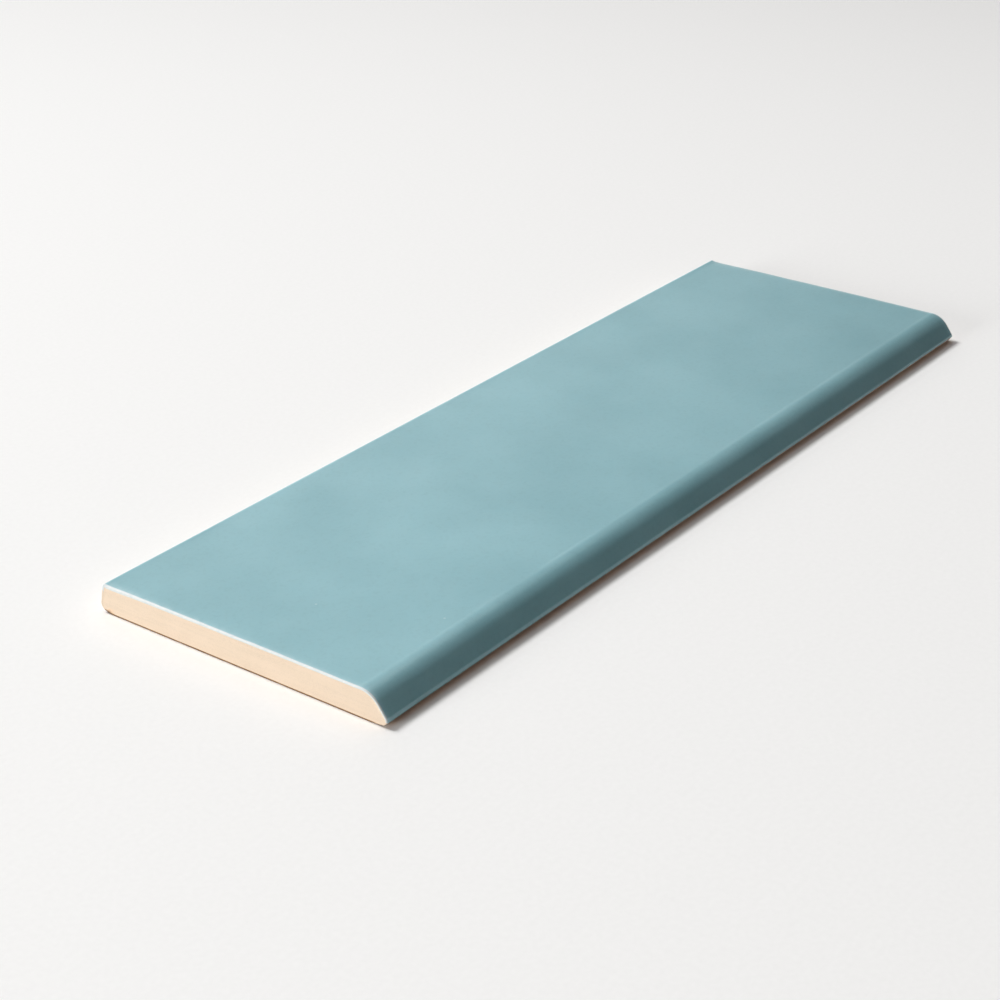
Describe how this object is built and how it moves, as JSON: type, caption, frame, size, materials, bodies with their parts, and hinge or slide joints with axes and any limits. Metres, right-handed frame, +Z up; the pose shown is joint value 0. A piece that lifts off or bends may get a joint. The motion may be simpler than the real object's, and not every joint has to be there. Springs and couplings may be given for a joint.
{
  "type": "bullnose tile",
  "caption": "Glazed ceramic wall tile whose face rolls over a rounded long edge to a thin foot, with a square edge opposite, flat butt ends and a keyed back, for finishing a tiled edge.",
  "frame": {"origin": "on the back, below the middle of the tile, which is the floor it lies on", "axes": "+X along the length, -Y towards the bullnose, +Y towards the square edge, +Z up through the glazed face"},
  "size_m": [0.3, 0.1, 0.0088],
  "materials": {
    "glaze": "satin"
  },
  "bodies": {
    "root": {"bullnose_tile": "glaze"}
  },
  "joints": []
}
